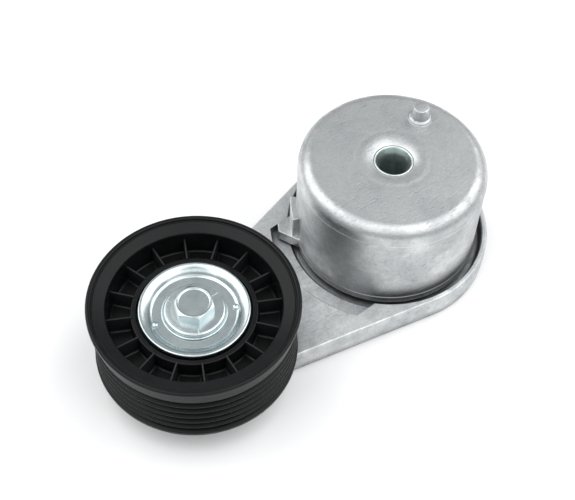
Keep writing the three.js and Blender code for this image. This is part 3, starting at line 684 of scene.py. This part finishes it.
def pocket_tool(near, far, side):
    """One cored pocket of the underside, with a draft."""
    slope = (arm_round_pivot - arm_round_pulley) / -pulley_x

    def edge(distance):
        return (arm_round_pivot - slope * distance) / math.sqrt(1 - slope ** 2) - 4

    outline = [(-near, side * 1.5), (-near, side * edge(near)), (-far, side * edge(far)), (-far, side * 1.5)]
    bm = lofted(outline, arm_bottom - 2, arm_bottom + 5.5)
    roof = [v for v in bm.verts if v.co.z > arm_bottom]
    middle = sum((v.co for v in roof), Vector()) / len(roof)
    bmesh.ops.scale(bm, verts=roof, vec=(0.94, 0.95, 1), space=Matrix.Translation(-middle))
    upright = [e for e in bm.edges if abs(e.verts[0].co.z - e.verts[1].co.z) > 1]
    soften(bm, upright, 2.2, 5)
    top = [e for e in bm.edges if all(v.co.z > arm_bottom + 5 for v in e.verts)]
    soften(bm, top, 0.9, 3)
    return bm


def tension_arm():
    steps = [
        ("DIFFERENCE", pan_tool()),
        ("DIFFERENCE", recess_tool()),
        ("UNION", pivot_hub()),
        ("DIFFERENCE", hub_tool()),
        ("UNION", moved(bearing_post(), pulley_place)),
        ("DIFFERENCE", moved(bolt_tool(), pulley_place)),
    ]
    near = recess_radius + 4
    far = -pulley_x - arm_round_pulley + 1
    middle = (near + far) / 2
    for side in (-1, 1):
        for start, end in ((near, middle - 1.5), (middle + 1.5, far)):
            steps.append(("DIFFERENCE", pocket_tool(start, end, side)))
    return worked(arm_blank(), steps)


# ---- Pulley ----
def pulley_body():
    front, rear, outer = pulley_front, pulley_rear, pulley_radius
    profile = [
        (rim_opening, rear, 0.5),
        (rear_flange_radius, rear, 0.6),
    ]
    pitch, mouth, root, depth = 3.56, 2.9, 0.8, 2.9
    for k in range(6):
        middle = rear + 1.75 + mouth / 2 + pitch * k
        crest = rear_flange_radius if k == 0 else land_radius
        profile += [
            (crest, middle - mouth / 2, 0.28),
            (land_radius - depth, middle - root / 2, 0.25),
            (land_radius - depth, middle + root / 2, 0.25),
            (land_radius, middle + mouth / 2, 0.28),
        ]
    profile += [
        (land_radius, front - 2.5, 0.3),
        (outer, front - 2.2, 0.4),
        (outer, front - 0.1, 0.7),
        (outer - 1.2, front, 0.3),
        (outer - 1.75, front - 0.3, 0.15),
        (outer - 1.9, front - 0.95, 0.1),
        (outer - 2.3, front - 1.05, 0.1),
        (outer - 2.5, front - 0.8, 0.15),
        (rim_opening, front - 2.5, 0.5),
        (rim_opening - 0.4, web_front, 0.9),
        (hub_radius, web_front, 0.9),
        (hub_radius, front - 5.9, 0.45),
        (shield_radius + 0.75, front - 5.9, 0.3),
        (shield_radius + 0.75, bearing_front + 0.9, 0.2),
        (bearing_radius - 1.0, bearing_front + 0.9, 0.2),
        (bearing_radius - 1.0, bearing_front + 0.2),
        (bearing_radius + 0.2, bearing_front + 0.2),
        (bearing_radius + 0.2, bearing_rear - 0.2),
        (bearing_radius - 1.0, bearing_rear - 0.2),
        (bearing_radius - 1.0, bearing_rear - 2.9, 0.3),
        (hub_radius, bearing_rear - 2.9, 0.45),
        (hub_radius, web_rear, 0.9),
        (rim_opening - 0.4, web_rear, 0.9),
    ]
    return turned(profile, WIDE_STEPS)


def spoke(floor, top):
    """One rib, with a fillet along each side of its foot and a rounded top."""
    up = 1 if top > floor else -1
    half, foot, draft = 0.5, 1.4, 0.12
    section = [
        (-foot, floor - 0.3 * up),
        (-foot, floor + 0.02 * up),
        (-half, floor + 0.02 * up, 0.8),
        (draft - half, top, 0.4),
        (half - draft, top, 0.4),
        (half, floor + 0.02 * up, 0.8),
        (foot, floor + 0.02 * up),
        (foot, floor - 0.3 * up),
    ]
    bm = bmesh.new()
    ring = [bm.verts.new((hub_radius - 0.4, p[0], p[1])) for p in section]
    for a, b in zip(ring, ring[1:] + ring[:1]):
        bm.edges.new((a, b))
    for vert, p in zip(ring, section):
        if len(p) > 2:
            bmesh.ops.bevel(
                bm, geom=[vert], offset=p[2], affect="VERTICES", segments=4, profile=0.5, material=-1,
            )
    bmesh.ops.contextual_create(bm, geom=bm.edges[:])
    sides = bmesh.ops.extrude_face_region(bm, geom=bm.faces[:])
    far = [v for v in sides["geom"] if isinstance(v, bmesh.types.BMVert)]
    bmesh.ops.translate(bm, verts=far, vec=(rim_opening - hub_radius + 0.8, 0, 0))
    bmesh.ops.recalc_face_normals(bm, faces=bm.faces)
    return bm


def pulley():
    parts = [pulley_body()]
    for k in range(16):
        turn = 15 + 22.5 * k
        parts.append(moved(spoke(web_front, pulley_front - 5.4), turn=turn))
        parts.append(moved(spoke(web_rear, bearing_rear - 1.9), turn=turn))
    return joined(*parts)


# ---- Dust shields and bolt ----
def front_shield():
    under, flat = shield_bottom, shield_flat
    crest = flat + 2.75
    plate = turned([
        (bolt_hole, under),
        (15.5, under, 0.8),
        (17.4, crest - 1.9, 1.2),
        (19.1, crest - 1.0, 0.2),
        (shield_radius - 0.75, crest - 1.6, 0.1),
        (shield_radius - 0.7, crest - 1.9),
        (shield_radius + 0.1, crest - 1.75, 0.15),
        (shield_radius + 0.15, crest - 0.1, 0.6),
        (19.2, crest, 0.4),
        (17.2, crest - 0.8, 1.2),
        (15.5, flat, 0.8),
        (bolt_hole, flat),
    ], RING_STEPS)
    domes = []
    for angle in (163, 330):
        dome = bmesh.new()
        bmesh.ops.create_uvsphere(dome, u_segments=24, v_segments=12, radius=1.3)
        bmesh.ops.scale(dome, verts=dome.verts, vec=(1, 1, 0.62))
        domes.append(moved(dome, (*polar(14.7, angle), flat + 0.1)))
    return joined(plate, *domes)


def rear_shield():
    bottom = boss_top + 0.2
    edge = high("dust_shield_rear").y
    return turned([
        (8.5, bottom),
        (boss_radius, bottom, 0.4),
        (edge, bottom - 0.6, 0.2),
        (edge, bottom + 0.3, 0.2),
        (boss_radius, bottom + 0.9, 0.4),
        (8.5, bottom + 0.9),
    ], RING_STEPS)


def bolt_head(bottom):
    """A hexagon whose top corners are turned off in a cone and whose top is dished."""
    corner = 13 / math.sqrt(3)
    top = bottom + 4.4
    hexagon = lofted([polar(corner, 7 + 60 * k) for k in range(6)], bottom - 0.5, top + 1)
    cone = turned([
        (0, bottom - 2),
        (corner + 1, bottom - 2),
        (corner + 1, top - (corner - 5.4) * 0.5774),
        (6.4, top, 0.15),
        (5.95, top, 0.15),
        (5.6, top - 0.4, 0.3),
        (0, top - 0.45),
    ], 96)
    return worked(hexagon, [("INTERSECT", cone)])


def pulley_bolt():
    seat = flange_seat
    flange_top = seat + 2
    flange = turned([
        (0, arm_bottom + 1),
        (5.0, arm_bottom + 1, 0.8),
        (5.0, seat, 0.2),
        (11.9, seat, 0.1),
        (11.9, seat + 0.35, 0.15),
        (11.5, seat + 0.4, 0.1),
        (11.25, flange_top - 0.05, 1.0),
        (8.6, flange_top + 0.08, 0.4),
        (6.6, flange_top + 0.25),
        (0, flange_top + 0.25),
    ], RING_STEPS)
    marks = []
    for angle in (2, 122, 242):
        mark = bmesh.new()
        bmesh.ops.create_cube(mark, size=1)
        bmesh.ops.scale(mark, verts=mark.verts, vec=(2.6, 0.32, 0.3))
        soften(mark, mark.edges[:], 0.08, 2)
        bmesh.ops.translate(mark, verts=mark.verts, vec=(9.3, 0, flange_top + 0.08))
        marks.append(moved(mark, turn=angle))
    return joined(flange, *marks)


# ---- Pieces on the pivot ----
def pivot_sleeve():
    top = sleeve_top
    return turned([
        (sleeve_bore, plate_bottom, 0.2),
        (8.6, plate_bottom, 0.3),
        (8.6, plate_bottom + 0.8, 0.2),
        (sleeve_radius, plate_bottom + 0.8),
        (sleeve_radius, top, 0.35),
        (6.85, top, 0.3),
        (6.35, top - 1.6, 0.8),
        (sleeve_bore + 0.35, top - 3.4, 0.8),
        (sleeve_bore, top - 6.5, 0.8),
    ], 96)


def end_plate():
    return turned([
        (8.8, plate_bottom, 0.1),
        (plate_radius, plate_bottom, 0.35),
        (plate_radius, plate_top, 0.3),
        (sleeve_hole, plate_top),
        (sleeve_hole, plate_bottom + 1.0),
        (8.8, plate_bottom + 1.0),
    ], RING_STEPS)


def thrust_washer():
    inner, outer = hub_bore - 2.8, high("thrust_washer").y
    bottom, top = low("thrust_washer").z, high("thrust_washer").z
    return turned([(inner, bottom, 0.2), (outer, bottom, 0.25), (outer, top, 0.25), (inner, top, 0.2)], RING_STEPS)


def pivot_bush():
    inner, outer, flange = hub_bore - 2.8, hub_bore - 0.2, high("pivot_bushing").y
    bottom, top = low("pivot_bushing").z, high("pivot_bushing").z
    return turned([
        (inner, bottom, 0.3),
        (outer, bottom, 0.5),
        (outer, top - 1.3),
        (flange, top - 1.3, 0.2),
        (flange, top, 0.3),
        (inner, top, 0.3),
    ], RING_STEPS)


def spring_seat():
    outer = high("spring_bushing").y
    bottom, top = low("spring_bushing").z, high("spring_bushing").z
    return turned([
        (11.3, bottom, 0.2),
        (12.7, bottom, 0.4),
        (12.7, top - 1.8, 0.4),
        (outer, top - 1.8, 0.4),
        (outer, top, 0.3),
        (11.3, top, 0.2),
    ], RING_STEPS)


def torsion_spring():
    """A round wire swept up a helix, with its cut ends filled."""
    wire, turns, start = 2.7, 4.75, 0
    mean = high("torsion_spring").x - wire - 0.01
    rise = high("torsion_spring").z - low("torsion_spring").z - 2 * wire
    bm = bmesh.new()
    section = Matrix.Translation((mean, 0, low("torsion_spring").z + wire)) @ Matrix.Rotation(math.pi / 2, 4, "X")
    bmesh.ops.create_circle(bm, cap_ends=False, segments=20, radius=wire, matrix=section)
    steps = round(turns * 48)
    bmesh.ops.spin(
        bm, geom=bm.verts[:] + bm.edges[:], cent=(0, 0, 0), axis=(0, 0, 1), dvec=(0, 0, rise / steps),
        angle=math.tau * turns, steps=steps,
    )
    bmesh.ops.holes_fill(bm, edges=[e for e in bm.edges if e.is_boundary], sides=0)
    bmesh.ops.recalc_face_normals(bm, faces=bm.faces)
    return moved(bm, turn=start)


def damper_band():
    """An open band of 300 degrees, its gap towards the pulley."""
    outer = high("damper_shoe").y
    bottom, top = low("damper_shoe").z, high("damper_shoe").z
    bm = turned([
        (outer - 2, bottom, 0.3), (outer, bottom, 0.4), (outer, top, 0.4), (outer - 2, top, 0.3),
    ], WIDE_STEPS)
    gap = lofted([(0, 0), polar(outer * 2, 150), polar(outer * 2, 180), polar(outer * 2, 210)], bottom - 1, top + 1)
    return worked(bm, [("DIFFERENCE", gap)])


ball_radius = high("ball_1").z - low("ball_1").z
ball_radius = ball_radius / 2
ball_orbit = (8.5 + bearing_radius) / 2
bearing_middle = (bearing_front + bearing_rear) / 2


def ball_track(shoulder, inner):
    """The groove a ball runs in, from its upper shoulder to its lower one."""
    reach = ball_radius + 0.2
    half = math.degrees(math.acos((shoulder - ball_orbit) / reach if not inner else (ball_orbit - shoulder) / reach))
    points = []
    for k in range(9):
        angle = half - 2 * half * k / 8
        across, along = polar(reach, angle)
        points.append((ball_orbit + (-across if inner else across), bearing_middle + along))
    return points


def outer_race():
    top, bottom, step, shoulder = bearing_front, bearing_rear, 17.05, 16.35
    return turned([
        (step, top - 1.5),
        (shoulder, top - 1.5, 0.1),
        *ball_track(shoulder, False),
        (shoulder, bottom + 1.5, 0.1),
        (step, bottom + 1.5),
        (step, bottom, 0.15),
        (bearing_radius, bottom, 0.6),
        (bearing_radius, top, 0.6),
        (step, top, 0.15),
    ], RING_STEPS)


def inner_race():
    top, bottom, shoulder = bearing_front, bearing_rear, 12.15
    return turned([
        (shoulder, top, 0.2),
        *ball_track(shoulder, True),
        (shoulder, bottom, 0.2),
        (8.5, bottom, 0.5),
        (8.5, top, 0.5),
    ], RING_STEPS)


def bearing_seal(node_name, outside):
    """A rubber disc, dished on the side that faces out of the bearing."""
    bottom, top = low(node_name).z, high(node_name).z
    face, back = (top, bottom) if outside > 0 else (bottom, top)
    outer = high(node_name).y
    return turned([
        (12.35, back, 0.15),
        (outer, back, 0.2),
        (outer, face, 0.3),
        (outer - 1.0, face, 0.1),
        (outer - 1.4, face - 0.25 * outside, 0.1),
        (13.5, face - 0.25 * outside, 0.1),
        (13.1, face, 0.1),
        (12.35, face, 0.2),
    ], RING_STEPS)


def bearing_ball():
    bm = bmesh.new()
    bmesh.ops.create_icosphere(bm, subdivisions=4, radius=ball_radius)
    return bm


# ---- The assembly ----
piece("case_shell", case_shell(), "case", "cast_aluminium_case", instead_of=["spring_case"])
piece("locating_pin", locating_pin(), "case", "cast_aluminium_case",
      place=(*polar(23.8, 22.7), 0), instead_of=["spring_case"])
piece("stop_lug", stop_lug(), "case", "cast_aluminium_case", instead_of=["spring_case"])
piece("lug_pad", lug_pad(), "case", "cast_aluminium_case", instead_of=["spring_case"])
piece("mount_sleeve", pivot_sleeve(), "case", "zinc_yellow", instead_of=["pivot_sleeve"])
piece("staked_plate", end_plate(), "case", "zinc_bright", instead_of=["end_plate"])
piece("cast_arm", tension_arm(), "arm", "cast_aluminium_arm", instead_of=["tension_arm"], flat_ends=True)
piece("pulley", pulley(), "pulley", "black_nylon", pulley_place, ["pulley_wheel"])
piece("shield_front", front_shield(), "arm", "zinc_bright", pulley_place, ["dust_shield_front"])
piece("shield_rear", rear_shield(), "arm", "zinc_bright", pulley_place, ["dust_shield_rear"])
piece("bolt_flange", pulley_bolt(), "arm", "zinc_bright", pulley_place, ["pulley_bolt"])
piece("bolt_hexagon", bolt_head(flange_seat + 2), "arm", "zinc_bright", pulley_place, ["pulley_bolt"],
      crease=25.0, edge=0.14)

piece("washer_under_hub", thrust_washer(), "case", "natural_nylon", instead_of=["thrust_washer"])
piece("hub_bush", pivot_bush(), "arm", "natural_nylon", instead_of=["pivot_bushing"])
piece("spring_seat", spring_seat(), "case", "natural_nylon", instead_of=["spring_bushing"])
piece("spring_coil", torsion_spring(), "arm", "spring_steel", instead_of=["torsion_spring"])
piece("damper_band", damper_band(), "arm", "damper_nylon", instead_of=["damper_shoe"])
piece("race_outer", outer_race(), "pulley", "bearing_steel", pulley_place, ["bearing_outer_race"])
piece("race_inner", inner_race(), "arm", "bearing_steel", pulley_place, ["bearing_inner_race"])
for name, outside in (("bearing_seal_front", 1), ("bearing_seal_rear", -1)):
    piece(name + "_disc", bearing_seal(name, outside), "pulley", "seal_rubber", pulley_place, [name])
for k in range(1, 9):
    name = "ball_" + str(k)
    centre = (low(name) + high(name)) / 2
    piece(name + "_round", bearing_ball(), "cage", "bearing_steel", centre, [name])

# The ball cage keeps its CAD shape and takes its own finish.
for part in frame["record"]["subparts"]:
    carried = frame["nodes"][part["node"]]
    if not carried.hide_render:
        carried.data.materials.clear()
        carried.data.materials.append(finishes[part["material_slot"]])

# ---- Floor, light and camera ----
def floor():
    bm = bmesh.new()
    bmesh.ops.create_grid(bm, x_segments=1, y_segments=1, size=3.0)
    bmesh.ops.translate(bm, verts=bm.verts, vec=(0, 0, (arm_bottom - 0.05) * MM))
    mesh = bpy.data.meshes.new("floor")
    bm.to_mesh(mesh)
    bm.free()
    obj = bpy.data.objects.new("floor", mesh)
    bpy.context.scene.collection.objects.link(obj)
    material, _, shader = blank_finish("pale_floor")
    shader.inputs["Base Color"].default_value = (0.93, 0.93, 0.93, 1)
    shader.inputs["Roughness"].default_value = 0.8
    shader.inputs["Specular IOR Level"].default_value = 0.2
    mesh.materials.append(material)


def direction(azimuth, elevation):
    a, e = math.radians(azimuth), math.radians(elevation)
    return Vector((math.sin(a) * math.cos(e), -math.cos(a) * math.cos(e), math.sin(e)))


def soft_box(name, near, far, distance, width, power):
    """A strip light whose long side runs between two directions, given as (azimuth, elevation)."""
    start, end = direction(*near), direction(*far)
    back = (start + end).normalized()
    along = (end - start).normalized()
    across = back.cross(along)
    data = bpy.data.lights.new(name, "AREA")
    data.shape = "RECTANGLE"
    data.size = 2 * distance * math.tan(start.angle(end) / 2)
    data.size_y = width
    data.energy = power
    obj = bpy.data.objects.new(name, data)
    place = Vector(VIEW_TARGET) * MM + back * distance
    obj.matrix_world = Matrix.Translation(place) @ Matrix((along, across, back)).transposed().to_4x4()
    bpy.context.scene.collection.objects.link(obj)


def studio():
    world = bpy.data.worlds.new("studio")
    bpy.context.scene.world = world
    world.use_nodes = True
    world.node_tree.nodes["Background"].inputs["Color"].default_value = (0.97, 0.99, 1.0, 1)
    world.node_tree.nodes["Background"].inputs["Strength"].default_value = 0.52
    for name, side in (("left_box", -1), ("right_box", 1)):
        near = (VIEW_AZIMUTH + side * 32, 62)
        far = (VIEW_AZIMUTH + side * 126, 26)
        soft_box(name, near, far, 0.9, 0.85, 5.8)
    soft_box("front_box", (VIEW_AZIMUTH - 50, 34), (VIEW_AZIMUTH + 62, 32), 0.9, 0.3, 1.8)
    bpy.context.scene.view_settings.view_transform = "Standard"


def camera():
    a, e, roll = (math.radians(v) for v in (VIEW_AZIMUTH, VIEW_ELEVATION, VIEW_ROLL))
    back = Vector((math.sin(a) * math.cos(e), -math.cos(a) * math.cos(e), math.sin(e)))
    right = Vector((math.cos(a), math.sin(a), 0))
    up = back.cross(right)
    right, up = (
        right * math.cos(roll) + up * math.sin(roll),
        up * math.cos(roll) - right * math.sin(roll),
    )
    place = (Vector(VIEW_TARGET) + back * VIEW_DISTANCE) * MM
    turn = Matrix((right, up, back)).transposed().to_4x4()
    data = bpy.data.cameras.new("camera")
    data.lens = LENS
    data.sensor_width = SENSOR
    data.sensor_fit = "HORIZONTAL"
    data.clip_start = 0.01
    obj = bpy.data.objects.new("camera", data)
    obj.matrix_world = Matrix.Translation(place) @ turn
    bpy.context.scene.collection.objects.link(obj)
    bpy.context.scene.camera = obj


floor()
studio()
camera()

bpy.context.view_layer.update()
